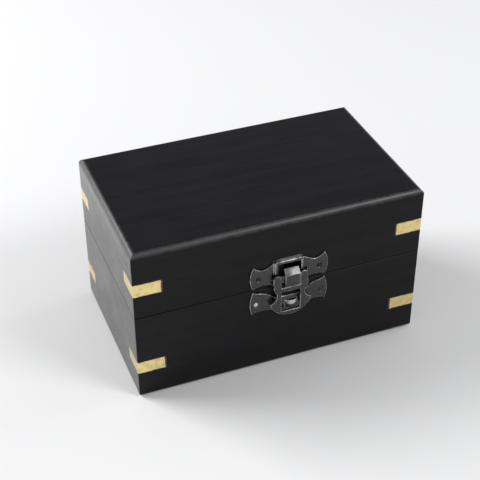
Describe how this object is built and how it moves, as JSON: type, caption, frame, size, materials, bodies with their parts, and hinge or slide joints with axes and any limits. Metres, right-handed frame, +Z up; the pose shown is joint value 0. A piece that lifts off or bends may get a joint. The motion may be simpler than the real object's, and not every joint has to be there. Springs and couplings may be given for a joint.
{
  "type": "hinged wooden box",
  "caption": "Small black painted wooden box with a hinged lid, brass corner strips, a velvet lining and a stamped hasp latch.",
  "frame": {"origin": "middle of the underside, which is the face that the box stands on", "axes": "+X right along the front, +Y from the front to the hinges, +Z up"},
  "size_m": [0.13, 0.0827, 0.075],
  "materials": {
    "black_wood": "satin black paint over fine grain, sanded edges",
    "inlay_brass": "pale satin brass, filed flush",
    "hinge_brass": "satin brass, lightly tarnished",
    "latch_lacquer": "semi gloss black lacquer, worn bright on edges",
    "bright_nails": "bright round heads",
    "dark_nails": "blackened round heads",
    "velvet": "deep red velvet over thin card"
  },
  "bodies": {
    "base": {"base_front": "black_wood", "base_back": "black_wood", "base_left": "black_wood", "base_right": "black_wood", "base_bottom": "black_wood", "base_inlay_front_left": "inlay_brass", "base_inlay_front_right": "inlay_brass", "base_inlay_back_left": "inlay_brass", "base_inlay_back_right": "inlay_brass", "hinge_left_base_leaf": "hinge_brass", "hinge_left_pin": "hinge_brass", "hinge_right_base_leaf": "hinge_brass", "hinge_right_pin": "hinge_brass", "latch_lower_plate": "latch_lacquer", "latch_lower_nails": "bright_nails", "base_front_lining": "velvet", "base_back_lining": "velvet", "base_left_lining": "velvet", "base_right_lining": "velvet", "base_floor_lining": "velvet"},
    "lid": {"lid_front": "black_wood", "lid_back": "black_wood", "lid_left": "black_wood", "lid_right": "black_wood", "lid_top": "black_wood", "lid_inlay_front_left": "inlay_brass", "lid_inlay_front_right": "inlay_brass", "lid_inlay_back_left": "inlay_brass", "lid_inlay_back_right": "inlay_brass", "hinge_left_lid_leaf": "hinge_brass", "hinge_right_lid_leaf": "hinge_brass", "latch_upper_plate": "latch_lacquer", "latch_upper_nails": "dark_nails", "lid_front_lining": "velvet", "lid_back_lining": "velvet", "lid_left_lining": "velvet", "lid_right_lining": "velvet", "lid_ceiling_lining": "velvet"},
    "latch_flap": {"latch_flap": "latch_lacquer"}
  },
  "joints": [
    {"name": "lid_hinge", "type": "hinge", "parent": "base", "child": "lid", "pos_m": [0, 0.0384, 0.043], "axis": [-1, 0, 0], "range_deg": [0, 110]},
    {"name": "flap_hinge", "type": "hinge", "parent": "lid", "child": "latch_flap", "pos_m": [0.003, -0.0412, 0.0482], "axis": [-1, 0, 0], "range_deg": [-5, 170]}
  ]
}
